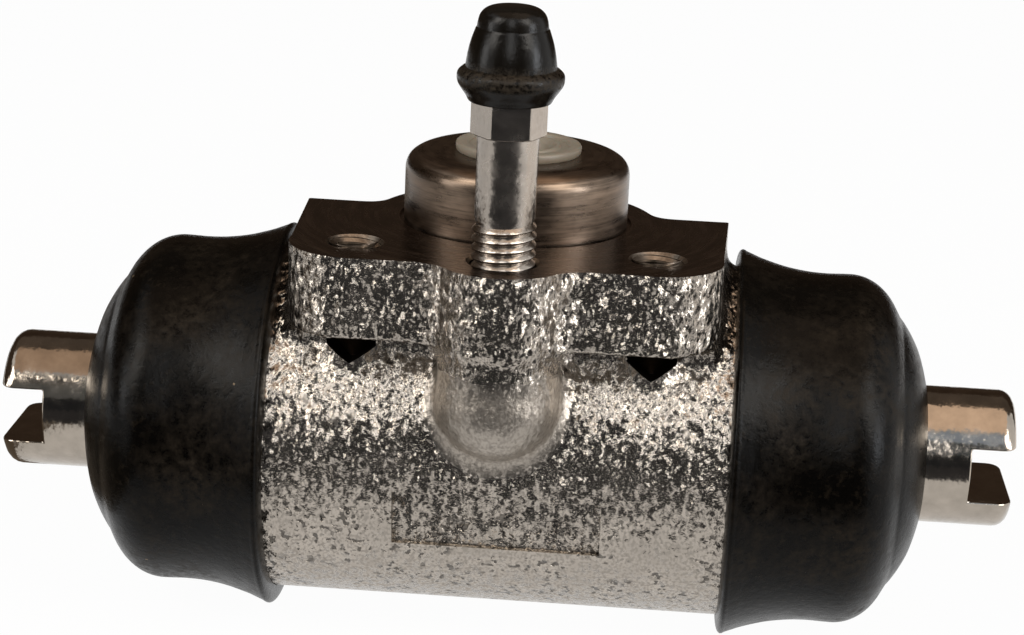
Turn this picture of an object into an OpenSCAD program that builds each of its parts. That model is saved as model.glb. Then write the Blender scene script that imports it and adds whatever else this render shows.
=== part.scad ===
// Double-piston wheel cylinder for a drum brake.
// Origin: on the spigot axis, in the plane of the mounting face. +Z leaves the mounting face along
// the spigot, +X runs along the bore, and the bleed screw stands on the -Y side.

/* [Casting] */
// Drop from the mounting face to the bore axis
axis_drop = 24.6; // [23.5:0.1:28]
// Outside diameter of the barrel
barrel_d = 39.6; // [38.6:0.1:42]
// Length of the barrel casting
barrel_l = 58; // [56:0.5:66]
// Bore diameter
bore_d = 25.4; // [22:0.1:26.5]
// Width of the groove that holds the boot, cut round each barrel end
boot_groove_w = 2; // [1.4:0.1:2.4]
// Depth of the boot groove
boot_groove_depth = 1.4; // [0.8:0.1:2]

/* [Flange] */
// Thickness of the mounting flange
flange_t = 9; // [7:0.5:10]
// Width across the back corners of the flange
flange_w = 47.8; // [46.8:0.2:49.8]
// Reach of the flange behind the spigot axis
flange_back = 3.9; // [2:0.1:6]
// Distance between the two mounting holes
hole_spacing = 32.5; // [31.5:0.1:33.5]
// Setback of the mounting holes from the spigot axis
hole_setback = 14.2; // [13.6:0.1:15.5]
// Drill diameter of the tapped mounting holes
hole_d = 5.2; // [4:0.1:6]
// Depth of the mounting holes to the drill's shoulder
hole_depth = 12.8; // [10:0.1:14]
// Radius of the flange edge round each hole
lug_r = 7.1; // [6.4:0.1:7.6]
// Radius of the hollow between the bleed lug and the straight front edge
front_hollow_r = 5; // [3:0.5:7]
// Radius of the hollow between the spigot boss and the flange's back edge
back_hollow_r = 3; // [2:0.5:4]

/* [Spigot and inlet] */
// Diameter of the locating spigot
spigot_d = 25; // [24:0.1:25.6]
// Height of the spigot above the mounting face
spigot_h = 7.8; // [6:0.1:10]
// Chamfer on the spigot's rim
spigot_chamfer = 1.2; // [0.5:0.1:2]
// Diameter of the cast boss under the spigot
spigot_boss_d = 32; // [30:0.5:34]
// Width of the relief groove turned round the spigot's foot
relief_w = 1.1; // [0.9:0.1:1.6]
// Depth of the relief groove
relief_depth = 0.4; // [0.2:0.1:0.8]
// Tapping diameter of the inlet port
inlet_d = 9; // [8:0.1:10]
// Depth of the inlet port from the spigot's top
inlet_depth = 12; // [10:0.5:13]
// Diameter of the drilled fluid passages
passage_d = 2.5; // [1.5:0.1:3.2]

/* [Bleed port] */
// Setback of the bleed screw from the spigot axis
bleed_setback = 18.8; // [18.5:0.1:19.5]
// Diameter of the bleed boss on the barrel
bleed_boss_d = 13; // [12:0.1:14]
// Height of the boss's ball end above the bore axis
bleed_ball_rise = 9.5; // [8:0.1:11]
// Depth of the bleed hole below the mounting face
bleed_depth = 13; // [11:0.5:14]

/* [Front panel] */
// Length of the plain recessed panel on the barrel's front
panel_l = 22.8; // [15:0.2:30]
// Angle from the level of the bore axis down to the panel's middle
panel_angle = 14; // [8:1:20]
// Height of the panel round the barrel, as an angle
panel_span = 22; // [14:1:26]
// Depth of the panel
panel_depth = 0.6; // [0.3:0.1:1]

/* [Thrust pins] */
// Diameter of the thrust pins
pin_d = 15.5; // [14:0.1:16]
// Distance from the middle of the casting to a pin's tip
pin_reach = 57.2; // [56:0.2:64]
// Width of the slot that takes the brake shoe
slot_w = 6.2; // [4.5:0.1:7]
// Depth of the slot
slot_depth = 5; // [4.2:0.1:6]
// Radius of the rounded edge on a pin's tip
pin_round = 1.6; // [0.5:0.1:2.5]
// Depth of the groove that the boot's collar sits in
pin_groove_depth = 0.8; // [0.4:0.1:1.2]

/* [Pistons] */
// Length of a piston
piston_l = 15; // [13:0.5:16]
// How far a piston's outer face lies inside the barrel end
piston_inset = 1; // [0.5:0.1:2]
// Depth of the socket that the thrust pin stands in
socket_depth = 9; // [7:0.5:11]
// Radial clearance of everything that slides or turns in its bore
running_fit = 0.05; // [0.02:0.01:0.08]

/* [Seals and spring] */
// Thickness of a cup seal's base
cup_base_t = 3.2; // [2.5:0.1:4]
// Reach of a cup seal's lip in front of its base
cup_lip_l = 3.4; // [2.5:0.1:4]
// Thickness of the cup seal's lip at its root
cup_lip_t = 2.2; // [1.5:0.1:2.6]
// Sheet thickness of a spring seat
seat_t = 1; // [0.6:0.1:1.4]
// Wire diameter of the return spring
wire_d = 1.3; // [0.8:0.1:1.6]
// Outside diameter of the return spring
spring_d = 15; // [13:0.5:16]
// Number of coils in the return spring
spring_turns = 5; // [4:1:7]

/* [Boots] */
// How far the boot's lip stands out from the barrel
boot_lip_h = 2.1; // [1.8:0.1:3.2]
// How far the boot's straight wall stands out from the barrel
boot_wall_h = 0; // [-0.5:0.1:0.7]
// Thickness of the boot's wall
boot_wall = 2; // [1.4:0.1:2.4]
// Distance from the middle of the casting to a boot's end face
boot_reach = 47.3; // [46:0.1:50]
// Radius of the boot's outer shoulder
boot_shoulder_r = 4.5; // [3.6:0.1:5]
// Diameter of the valley between shoulder and collar
boot_valley_d = 30.6; // [29:0.2:32]

/* [Bleed screw and cap] */
// Thread diameter of the bleed screw
bleed_thread_d = 7; // [6:0.1:7.4]
// Height at which the thread ends above the mounting face
thread_top = 3.9; // [2:0.1:5]
// Diameter of the plain shank
shank_d = 6.5; // [5:0.1:6.6]
// Height of the hexagon's underside above the mounting face
hex_base = 13.6; // [12:0.1:16]
// Width across the flats of the hexagon
hex_af = 7; // [6.7:0.1:8]
// Height of the hexagon
hex_h = 4.6; // [4:0.1:6]
// Diameter of the bead on the cap
cap_bead_d = 10.8; // [10.4:0.1:11]
// Height of the cap's top above the mounting face
cap_top = 27.2; // [26.6:0.1:30]
// Height of the cap's lower edge above the mounting face
cap_foot = 17.2; // [16.6:0.1:17.6]

/* [Inlet plug] */
// Diameter of the plug's flange
plug_flange_d = 14; // [12:0.2:16]
// Thickness of the plug's flange
plug_flange_t = 1; // [0.6:0.1:2]
// Length of the plug's stem in the inlet port
plug_stem_l = 8; // [5:0.5:9]

/* [Hidden] */
$fn = 96;

// Surfaces that only cross a neighbour's edge start this far inside it
bite = 0.1;
// Cutting tools run this far past the face they cut
over = 1;

// Casting
barrel_r = barrel_d / 2;
bore_r = bore_d / 2;
barrel_end = barrel_l / 2;
barrel_chamfer = 0.8;
bore_chamfer = 1;
groove_out = barrel_end - 1;
groove_in = groove_out - boot_groove_w;
boot_groove_r = barrel_r - boot_groove_depth;
lug_front = hole_setback + lug_r - bite;
flange_front_w = hole_spacing + 2 * lug_r - 2 * bite;
hole_chamfer = 0.7;
drill_point_angle = 59;
bleed_hole_d = bleed_thread_d + 2 * running_fit;
bleed_chamfer = 0.35;
boss_r = bleed_boss_d / 2;
ball_r = boss_r + bite;

// Inside, measured outwards from the middle of the casting
piston_out = barrel_end - piston_inset;
piston_in = piston_out - piston_l;
cup_in = piston_in - cup_base_t;
seat_in = cup_in - seat_t;
pin_in = piston_out - socket_depth;
piston_r = bore_r - running_fit;
pin_r = pin_d / 2;
slot_root = pin_reach - slot_depth;

// Boot collar on the pin, with the bead that grips the pin's groove
collar_l = 3.4;
grip_w = 2;
groove_slack = 0.2;
collar_in = boot_reach - collar_l;
grip_in = collar_in + groove_slack;
grip_out = grip_in + grip_w;
pin_groove_r = pin_r - pin_groove_depth;

// Bleed screw inside its cap: the cap's roof lies over the nipple, and its bore grips the nipple's barb
cap_roof = 2.2;
barb_inset = 0.4;
hex_top = hex_base + hex_h;
nipple_top = cap_top - cap_roof;
barb_r = hex_af / 2 - barb_inset;

// Points of an arc round a centre, from one angle to another
function arc(cx, cy, r, from, to, steps) =
    [for (i = [0:steps]) let (a = from + (to - from) * i / steps) [cx + r * cos(a), cy + r * sin(a)]];

// Points of a curve from a to b that is drawn towards a pulling point, without its first point
function pulled_curve(a, pull, b, steps) =
    [for (i = [1:steps]) let (t = i / steps) (1 - t) * (1 - t) * a + 2 * t * (1 - t) * pull + t * t * b];

// Puts a shape that is drawn round the Z axis along the bore: +Z becomes +X on the right, -X on the left
module along_bore(side) {
    translate([0, 0, -axis_drop])
        rotate([0, 90 * side, 0])
            children();
}

// A plain cylinder along the bore axis, from the left end to the right end
module bore_cylinder(r, length) {
    along_bore(1)
        cylinder(r = r, h = length, center = true);
}

// Cylinder body

module flange_outline() {
    back_x = flange_w / 2;
    front_x = flange_front_w / 2;
    hole_x = hole_spacing / 2;
    polygon([
        [-back_x, flange_back], [back_x, flange_back],
        [front_x, -hole_setback], [hole_x, -lug_front],
        [-hole_x, -lug_front], [-front_x, -hole_setback]
    ]);
    for (side = [-1, 1])
        translate([side * hole_x, -hole_setback])
            circle(r = lug_r);
    translate([0, -bleed_setback])
        circle(r = lug_r);
    for (side = [0, 1])
        mirror([side, 0]) {
            edge_hollow(-lug_front, -bleed_setback, lug_r, front_hollow_r, -1);
            edge_hollow(flange_back, 0, spigot_boss_d / 2, back_hollow_r, 1);
        }
}

// The hollow between a straight edge on the line y = edge and a round of radius r about [0, centre], on the
// right-hand side. out is 1 where the round stands out towards +Y, and -1 towards -Y.
module edge_hollow(edge, centre, r, hollow_r, out) {
    reach = r + hollow_r - bite / 2;
    hollow_y = edge + out * (hollow_r - bite / 2);
    hollow_x = sqrt(reach * reach - pow(hollow_y - centre, 2));
    round_x = hollow_x * r / reach;
    round_y = centre + (hollow_y - centre) * r / reach;
    difference() {
        polygon([
            [0, edge - out * over], [hollow_x, edge - out * over], [hollow_x, edge],
            [round_x, round_y], [0, round_y]
        ]);
        translate([hollow_x, hollow_y])
            circle(r = hollow_r);
    }
}

module bleed_boss() {
    translate([0, -bleed_setback, -axis_drop + bleed_ball_rise]) {
        cylinder(r = boss_r, h = axis_drop - bleed_ball_rise - flange_t + over);
        sphere(r = ball_r);
    }
}

module casting() {
    bore_cylinder(barrel_r, barrel_l);
    translate([0, 0, -flange_t])
        linear_extrude(flange_t)
            flange_outline();
    translate([0, 0, -axis_drop])
        cylinder(d = spigot_boss_d, h = axis_drop);
    translate([0, 0, -flange_t])
        cylinder(d = spigot_d, h = flange_t + spigot_h - spigot_chamfer);
    translate([0, 0, spigot_h - spigot_chamfer])
        cylinder(d1 = spigot_d, d2 = spigot_d - 2 * spigot_chamfer, h = spigot_chamfer);
    bleed_boss();
}

// A tapped hole's drilling: countersink, straight wall and drill point, going down from Z = 0
module drilling(d, depth, chamfer) {
    r = d / 2;
    rotate_extrude()
        polygon([
            [0, over], [r + chamfer + over, over], [r + chamfer + over, 0], [r + chamfer, 0], [r, -chamfer],
            [r, -depth], [0, -depth - r / tan(drill_point_angle)]
        ]);
}

module relief_groove() {
    translate([0, 0, -relief_depth])
        difference() {
            cylinder(d = spigot_d + 2 * relief_w, h = relief_depth + over);
            translate([0, 0, -over])
                cylinder(d = spigot_d, h = relief_depth + 3 * over);
        }
}

module barrel_end_cuts() {
    // Groove for the boot
    translate([0, 0, groove_in])
        difference() {
            cylinder(r = barrel_r + 2 * over, h = boot_groove_w);
            cylinder(r = boot_groove_r, h = 3 * boot_groove_w, center = true);
        }
    // Chamfers on the outside and in the bore's mouth
    translate([0, 0, barrel_end])
        rotate_extrude()
            polygon([
                [barrel_r + over, over], [barrel_r - barrel_chamfer - over, over],
                [barrel_r + over, -barrel_chamfer - over]
            ]);
    translate([0, 0, barrel_end - bore_chamfer])
        cylinder(r1 = bore_r, r2 = bore_r + bore_chamfer + over, h = bore_chamfer + over);
}

module front_panel() {
    floor_r = barrel_r - panel_depth;
    translate([0, 0, -axis_drop])
        intersection() {
            difference() {
                rotate([0, 90, 0])
                    cylinder(r = barrel_r + over, h = panel_l, center = true);
                rotate([0, 90, 0])
                    cylinder(r = floor_r, h = panel_l + 2 * over, center = true);
            }
            rotate([panel_angle, 0, 0])
                translate([-panel_l, -barrel_r - 2 * over, -barrel_r * sin(panel_span / 2)])
                    cube([2 * panel_l, barrel_r, 2 * barrel_r * sin(panel_span / 2)]);
        }
}

// The oblique drilling from the foot of the bleed hole into the top of the bore
module bleed_passage() {
    foot = [-bleed_setback, axis_drop - bleed_depth];
    target = [0, bore_r / 2];
    run = target - foot;
    translate([0, -bleed_setback, -bleed_depth])
        rotate([-90 + atan2(run[1], run[0]), 0, 0])
            cylinder(d = passage_d, h = norm(run));
}

module cylinder_body() {
    color("silver")
        difference() {
            casting();
            bore_cylinder(bore_r, barrel_l + 2 * over);
            for (side = [-1, 1])
                along_bore(side)
                    barrel_end_cuts();
            for (side = [-1, 1])
                translate([side * hole_spacing / 2, -hole_setback, 0])
                    drilling(hole_d, hole_depth, hole_chamfer);
            translate([0, -bleed_setback, 0])
                drilling(bleed_hole_d, bleed_depth, bleed_chamfer);
            bleed_passage();
            translate([0, 0, spigot_h])
                drilling(inlet_d, inlet_depth, hole_chamfer);
            translate([0, 0, -axis_drop])
                cylinder(d = passage_d, h = axis_drop);
            relief_groove();
            front_panel();
        }
}

// Boots

// Outer and inner line of a boot, as [radius, distance from the middle of the casting]
module boot_profile() {
    lip_r = barrel_r + boot_lip_h;
    wall_r = barrel_r + boot_wall_h;
    valley_r = boot_valley_d / 2;
    mouth_r = barrel_r + running_fit;
    collar_r = pin_r + running_fit;
    bead_r = boot_groove_r + running_fit;
    grip_r = pin_groove_r + running_fit;
    bevel = 0.2;
    // Lip, and the flare from the lip to the straight wall
    lip_round = 0.5;
    mouth_l = 0.9;
    flare_l = 8.5;
    flare_bend = 5;
    lip = groove_in;
    waist = lip + flare_l;
    // Shoulder, valley and dome
    shoulder_gap = 0.5;
    valley_gap = 0.1;
    dome_sag = 0.5;
    shoulder_x = collar_in - boot_shoulder_r - shoulder_gap;
    shoulder_round = boot_shoulder_r - boot_wall;
    valley = [valley_r, collar_in - valley_gap];
    face = [collar_r, boot_reach];
    dome_pull = [(valley_r + collar_r) / 2, boot_reach - dome_sag];
    // Room for the barrel's end, and the web between the collar and the shoulder
    room_gap = 0.6;
    room_step = 1.2;
    room_slope = 0.4;
    room_land = 1;
    web_gap = 0.6;
    collar_bevel = 1;
    room = barrel_end + room_gap;
    room_r = mouth_r - room_step;
    bead_in = groove_in + groove_slack;
    bead_out = groove_out - groove_slack;
    polygon(concat(
        [[mouth_r, lip - mouth_l]],
        arc(lip_r - lip_round, lip, lip_round, -60, 60, 4),
        pulled_curve([lip_r, lip + lip_round], [wall_r, lip + flare_bend], [wall_r, waist], 6),
        arc(wall_r - boot_shoulder_r, shoulder_x, boot_shoulder_r, 0, 90, 8),
        [valley],
        pulled_curve(valley, dome_pull, face, 6),
        [[collar_r, grip_out + bevel], [grip_r, grip_out], [grip_r, grip_in]],
        [[collar_r + collar_bevel, collar_in], [valley_r - boot_wall, collar_in - web_gap]],
        arc(wall_r - boot_shoulder_r, shoulder_x, shoulder_round, 70, 0, 6),
        [[wall_r - boot_wall, waist], [room_r, room + room_land]],
        [[room_r, room], [mouth_r, room - room_slope]],
        [[mouth_r, bead_out], [bead_r, bead_out - bevel], [bead_r, bead_in + bevel], [mouth_r, bead_in]]
    ));
}

module boot(side) {
    color([0.09, 0.08, 0.075])
        along_bore(side)
            rotate_extrude()
                boot_profile();
}

module left_boot() {
    boot(-1);
}

module right_boot() {
    boot(1);
}

// Thrust pins

module thrust_pin(side) {
    pin_groove_in = grip_in - groove_slack;
    pin_groove_out = grip_out + 2 * groove_slack;
    foot_chamfer = 0.6;
    color([0.72, 0.72, 0.70])
        along_bore(side)
            difference() {
                rotate_extrude()
                    polygon(concat(
                        [[0, pin_in], [pin_r - foot_chamfer, pin_in], [pin_r, pin_in + foot_chamfer]],
                        [[pin_r, pin_groove_in], [pin_groove_r, pin_groove_in]],
                        [[pin_groove_r, pin_groove_out], [pin_r, pin_groove_out]],
                        arc(pin_r - pin_round, pin_reach - pin_round, pin_round, 0, 90, 5),
                        [[0, pin_reach]]
                    ));
                translate([-slot_w / 2, -pin_d, slot_root])
                    cube([slot_w, 2 * pin_d, slot_depth + over]);
            }
}

module left_thrust_pin() {
    thrust_pin(-1);
}

module right_thrust_pin() {
    thrust_pin(1);
}

// Pistons

module piston(side) {
    rim = 0.6;
    waist_in = piston_in + 0.3 * piston_l;
    waist_out = piston_in + 0.7 * piston_l;
    waist_depth = 0.4;
    socket_r = pin_r + running_fit;
    color([0.66, 0.67, 0.69])
        along_bore(side)
            rotate_extrude()
                polygon([
                    [0, piston_in], [piston_r - rim, piston_in], [piston_r, piston_in + rim],
                    [piston_r, waist_in], [piston_r - waist_depth, waist_in + waist_depth],
                    [piston_r - waist_depth, waist_out - waist_depth], [piston_r, waist_out],
                    [piston_r, piston_out - rim], [piston_r - rim, piston_out],
                    [socket_r + rim, piston_out], [socket_r, piston_out - rim],
                    [socket_r, pin_in], [0, pin_in]
                ]);
}

module left_piston() {
    piston(-1);
}

module right_piston() {
    piston(1);
}

// Cup seals

module cup_seal(side) {
    lip_in = cup_in - cup_lip_l;
    heel = 0.5;
    color([0.05, 0.05, 0.05])
        along_bore(side)
            rotate_extrude()
                polygon([
                    [0, piston_in], [piston_r - heel, piston_in], [piston_r, piston_in - heel],
                    [piston_r, lip_in + heel], [piston_r - heel, lip_in],
                    [piston_r - cup_lip_t, cup_in], [0, cup_in]
                ]);
}

module left_cup_seal() {
    cup_seal(-1);
}

module right_cup_seal() {
    cup_seal(1);
}

// Spring seats

module spring_seat(side) {
    seat_gap = 0.4;
    core_h = 1.6;
    core_taper = 0.4;
    plate_r = piston_r - cup_lip_t - seat_gap;
    core_r = spring_d / 2 - wire_d - seat_gap;
    color([0.75, 0.73, 0.66])
        along_bore(side)
            rotate_extrude()
                polygon([
                    [0, cup_in], [plate_r, cup_in], [plate_r, seat_in], [core_r, seat_in],
                    [core_r - core_taper, seat_in - core_h], [0, seat_in - core_h]
                ]);
}

module left_spring_seat() {
    spring_seat(-1);
}

module right_spring_seat() {
    spring_seat(1);
}

// Return spring: a wire swept along a helix whose end coils lie flat against the seats

module return_spring() {
    sides = 8;
    rings_per_turn = 18;
    rings = spring_turns * rings_per_turn;
    coil_r = spring_d / 2 - wire_d / 2;
    seat_gap = 0.05;
    half = seat_in - seat_gap - wire_d / 2;
    // Share of the height reached after a share of the turns, with one flat turn at each end
    function rise(t) = let (flat = 1 / spring_turns) min(1, max(0, (t - flat) / (1 - 2 * flat)));
    // Flat end coils still climb by a little more than one wire, so that they don't run into each other
    end_pitch = wire_d * 1.08;
    function height(t) =
        let (flat = 1 / spring_turns, start = min(t, flat) / flat, end = max(t - 1 + flat, 0) / flat)
        -half + end_pitch * (start + end) + (2 * half - 2 * end_pitch) * rise(t);
    points = [
        for (i = [0:rings]) let (t = i / rings, turn = 360 * spring_turns * t)
            for (k = [0:sides - 1]) let (a = 360 * k / sides, r = coil_r + wire_d / 2 * cos(a))
                [r * cos(turn), r * sin(turn), height(t) + wire_d / 2 * sin(a)]
    ];
    walls = [
        for (i = [0:rings - 1]) for (k = [0:sides - 1]) let (n = (k + 1) % sides)
            [i * sides + k, (i + 1) * sides + k, (i + 1) * sides + n, i * sides + n]
    ];
    caps = [[for (k = [0:sides - 1]) k], [for (k = [sides - 1:-1:0]) rings * sides + k]];
    color([0.70, 0.70, 0.68])
        along_bore(1)
            polyhedron(points, concat(walls, caps), convexity = 10);
}

// Bleed screw: seat cone, thread, shank, hexagon and nipple, with its drilled outlet

module bleed_screw() {
    thread_r = bleed_thread_d / 2;
    shank_r = shank_d / 2;
    thread_bevel = 0.4;
    foot_gap = 0.3;
    cone_h = 2.6;
    cone_tip_r = 1.2;
    hex_angle = 7.5;
    neck_inset = 0.9;
    barb_drop = 2.6;
    barb_lead = 1;
    outlet_d = 2;
    cross_d = 1.8;
    foot = -bleed_depth + foot_gap;
    thread_foot = foot + cone_h;
    outlet_foot = thread_foot + over;
    neck_r = hex_af / 2 - neck_inset;
    barb = nipple_top - barb_drop;
    color([0.78, 0.78, 0.77])
        translate([0, -bleed_setback, 0])
            difference() {
                union() {
                    rotate_extrude()
                        polygon([
                            [0, foot], [cone_tip_r, foot], [thread_r - thread_bevel, thread_foot],
                            [thread_r, thread_foot + thread_bevel], [thread_r, thread_top],
                            [shank_r, thread_top + thread_bevel],
                            [shank_r, hex_base + over], [0, hex_base + over]
                        ]);
                    translate([0, 0, hex_base])
                        rotate([0, 0, hex_angle])
                            cylinder(d = hex_af / cos(30), h = hex_h, $fn = 6);
                    rotate_extrude()
                        polygon([
                            [0, hex_top - over], [neck_r, hex_top - over], [neck_r, barb - barb_lead],
                            [barb_r, barb], [neck_r, nipple_top], [0, nipple_top]
                        ]);
                }
                translate([0, 0, outlet_foot])
                    cylinder(d = outlet_d, h = nipple_top);
                translate([0, 0, outlet_foot + outlet_d / 2])
                    rotate([0, 90, 0])
                        cylinder(d = cross_d, h = bleed_thread_d + over, center = true);
            }
}

// Bleed cap

module bleed_cap() {
    bead_r = cap_bead_d / 2;
    bead_round = 0.95;
    bead_rise = 2.4;
    bead_gap = 0.15;
    foot_wall = 0.35;
    foot_inset = 0.45;
    skirt_inset = 0.9;
    skirt_taper = 0.35;
    skirt_h = 3.6;
    crown_inset = 2.1;
    crown_drop = 2.4;
    crown_step = 0.25;
    crown_round = 1.4;
    end_gap = 0.2;
    bead_z = cap_foot + bead_rise;
    skirt_r = bead_r - skirt_inset;
    crown_r = bead_r - crown_inset;
    crown_z = cap_top - crown_drop;
    hex_r = hex_af / (2 * cos(30)) + running_fit;
    grip_r = barb_r + running_fit;
    color([0.05, 0.045, 0.04])
        translate([0, -bleed_setback, 0])
            rotate_extrude()
                polygon(concat(
                    [[hex_r, cap_foot], [hex_r + foot_wall, cap_foot]],
                    [[bead_r - foot_inset, bead_z - bead_round]],
                    arc(bead_r - bead_round, bead_z, bead_round, -40, 70, 6),
                    [[skirt_r, bead_z + bead_round + bead_gap], [skirt_r - skirt_taper, bead_z + skirt_h]],
                    [[crown_r + crown_step, crown_z + crown_step], [crown_r, crown_z + 2 * crown_step]],
                    arc(crown_r - crown_round, cap_top - crown_round, crown_round, 15, 90, 6),
                    [[0, cap_top], [0, nipple_top + end_gap], [grip_r, nipple_top + end_gap]],
                    [[grip_r, hex_top + end_gap], [hex_r, hex_top + end_gap]]
                ));
}

// Inlet plug

module inlet_plug() {
    stem_chamfer = 0.6;
    stem_wall = 1.2;
    rim_chamfer = 0.3;
    rim_w = 1.4;
    step_share = 0.4;
    stem_r = inlet_d / 2 - running_fit;
    stem_foot = spigot_h - plug_stem_l;
    flange_r = plug_flange_d / 2;
    well_r = stem_r - stem_wall;
    well_foot_r = well_r - rim_chamfer;
    well_floor = stem_foot + stem_wall;
    step_r = flange_r - rim_w;
    top = spigot_h + plug_flange_t;
    step_top = top - step_share * plug_flange_t;
    color([0.90, 0.87, 0.78])
        rotate_extrude()
            polygon([
                [0, stem_foot], [stem_r - stem_chamfer, stem_foot], [stem_r, stem_foot + stem_chamfer],
                [stem_r, spigot_h], [flange_r, spigot_h],
                [flange_r, top - rim_chamfer], [flange_r - rim_chamfer, top],
                [step_r, top], [step_r, step_top], [well_r, step_top],
                [well_foot_r, well_floor], [0, well_floor]
            ]);
}

cylinder_body();
left_boot();
right_boot();
left_thrust_pin();
right_thrust_pin();
left_piston();
right_piston();
left_cup_seal();
right_cup_seal();
left_spring_seat();
right_spring_seat();
return_spring();
bleed_screw();
bleed_cap();
inlet_plug();
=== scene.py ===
import math

import bmesh
import bpy
from bpy.props import FloatProperty, FloatVectorProperty, IntProperty, PointerProperty
from mathutils import Matrix, Vector


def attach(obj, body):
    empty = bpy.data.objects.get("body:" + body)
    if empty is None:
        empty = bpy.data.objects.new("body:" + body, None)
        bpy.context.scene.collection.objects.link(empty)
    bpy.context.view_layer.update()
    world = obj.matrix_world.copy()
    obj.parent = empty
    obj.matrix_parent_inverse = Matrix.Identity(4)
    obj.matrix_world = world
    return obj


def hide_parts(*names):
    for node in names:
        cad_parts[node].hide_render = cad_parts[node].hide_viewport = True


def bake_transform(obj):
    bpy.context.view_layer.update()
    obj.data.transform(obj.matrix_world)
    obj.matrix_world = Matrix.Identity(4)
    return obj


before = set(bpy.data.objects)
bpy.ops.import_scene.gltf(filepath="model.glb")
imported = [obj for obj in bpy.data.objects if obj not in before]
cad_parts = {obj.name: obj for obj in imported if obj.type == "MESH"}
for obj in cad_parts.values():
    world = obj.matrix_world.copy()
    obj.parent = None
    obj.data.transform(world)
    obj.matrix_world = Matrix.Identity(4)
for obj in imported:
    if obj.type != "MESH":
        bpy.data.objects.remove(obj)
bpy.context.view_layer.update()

bl_info = {
    "name": "Wheel Cylinder Dresser",
    "version": (1, 0, 0),
    "blender": (4, 5, 0),
    "location": "View3D > Sidebar > Wheel Cylinder",
    "description": "Casts, machines and finishes a drum-brake wheel cylinder round its CAD frame",
    "category": "Object",
}

MM = 0.001
X_AXIS = Vector((1, 0, 0))
Z_AXIS = Vector((0, 0, 1))


# Sizes and colours that a user would change


def length(name, description, default):
    """A length in metres, given in millimetres."""
    return FloatProperty(
        name=name, description=description, default=default * MM, min=0, precision=5,
        subtype="DISTANCE", unit="LENGTH",
    )


def angle(name, description, default):
    """An angle in radians, given in degrees."""
    return FloatProperty(name=name, description=description, default=math.radians(default), subtype="ANGLE")


def colour(name, description, default):
    """A linear RGB colour."""
    return FloatVectorProperty(
        name=name, description=description, default=default, size=3, min=0, max=1, subtype="COLOR",
    )


class WheelCylinderSizes(bpy.types.PropertyGroup):
    """Sizes of the body, its threads and its surface."""
    axis_drop: length("Axis drop", "Drop from the mounting face to the bore axis", 24.6)
    barrel_r: length("Barrel radius", "Radius of the barrel", 19.8)
    bore_r: length("Bore radius", "Radius of the bore", 12.7)
    casting_detail: length("Casting detail", "Edge length of the casting's mesh before it is softened", 0.4)
    softening: IntProperty(
        name="Softening", description="Rounds of smoothing that soften the edges of the casting",
        default=10, min=0,
    )
    fillet: length("Fillet", "Radius of the fillets in the casting's inner corners", 1.5)
    hole_spacing: length("Hole spacing", "Distance between the mounting holes", 32.5)
    hole_setback: length("Hole setback", "Setback of the mounting holes from the spigot axis", 14.2)
    hole_r: length("Hole radius", "Radius at the roots of the thread in the mounting holes", 2.8)
    hole_depth: length("Hole depth", "Depth of the mounting holes to the drill's shoulder", 11.3)
    bleed_setback: length("Bleed setback", "Setback of the bleed screw from the spigot axis", 18.8)
    bleed_hole_r: length("Bleed hole radius", "Radius of the hole for the bleed screw", 3.6)
    bleed_depth: length("Bleed hole depth", "Depth of the bleed hole", 13)
    spigot_r: length("Spigot radius", "Radius of the locating spigot", 12.5)
    spigot_h: length("Spigot height", "Height of the spigot above the mounting face", 7.8)
    relief_w: length("Relief width", "Width of the groove round the spigot's foot", 0.5)
    relief_depth: length("Relief depth", "Depth of the groove round the spigot's foot", 0.3)
    inlet_r: length("Inlet radius", "Radius at the roots of the thread in the inlet port", 4.95)
    inlet_depth: length("Inlet depth", "Depth of the inlet port from the spigot's top", 12)
    passage_r: length("Passage radius", "Radius of the fluid passages", 1.25)
    grain: length("Grain", "Size of the grain on the cast skin", 0.72)
    pitch: length("Thread pitch", "Pitch of all the threads", 1)


class WheelCylinderColours(bpy.types.PropertyGroup):
    """Colours of the finishes."""
    zinc: colour("Zinc", "Zinc-plated cast skin", (0.42, 0.375, 0.325))
    machined: colour("Machined", "Bare machined mounting face", (0.12, 0.09, 0.072))
    spigot: colour("Spigot", "Turned spigot", (0.135, 0.10, 0.074))
    drilled: colour("Drilled", "Walls of the drilled holes", (0.20, 0.17, 0.14))
    # Painted shade: near-black for the depths of the drilled holes and the notches, standing in for the shade
    # in them.
    hole_shade: colour("Deep", "Oily depths of the drilled holes", (0.020, 0.016, 0.013))
    rubber: colour("Rubber", "Boot rubber", (0.0013, 0.001, 0.0007))
    # Also the colour of the painted highlight along the boots' edges.
    dust: colour("Dust", "Dust and scuffs on the rubber", (0.034, 0.025, 0.016))
    pin: colour("Pin", "Zinc-plated thrust pins", (0.37, 0.325, 0.275))
    screw: colour("Screw", "Bright bleed screw", (0.36, 0.32, 0.28))
    cap: colour("Cap", "Glossy cap rubber", (0.005, 0.004, 0.003))
    plug: colour("Plug", "Cream plastic plug", (0.28, 0.242, 0.19))
    alloy: colour("Alloy", "Turned pistons", (0.66, 0.67, 0.69))
    cup: colour("Cup", "Cup seals", (0.02, 0.02, 0.02))
    seat: colour("Seat", "Passivated spring seats", (0.70, 0.64, 0.48))
    wire: colour("Wire", "Drawn spring wire", (0.55, 0.55, 0.53))
    floor: colour("Floor", "Studio floor", (0.86, 0.86, 0.86))


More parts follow.
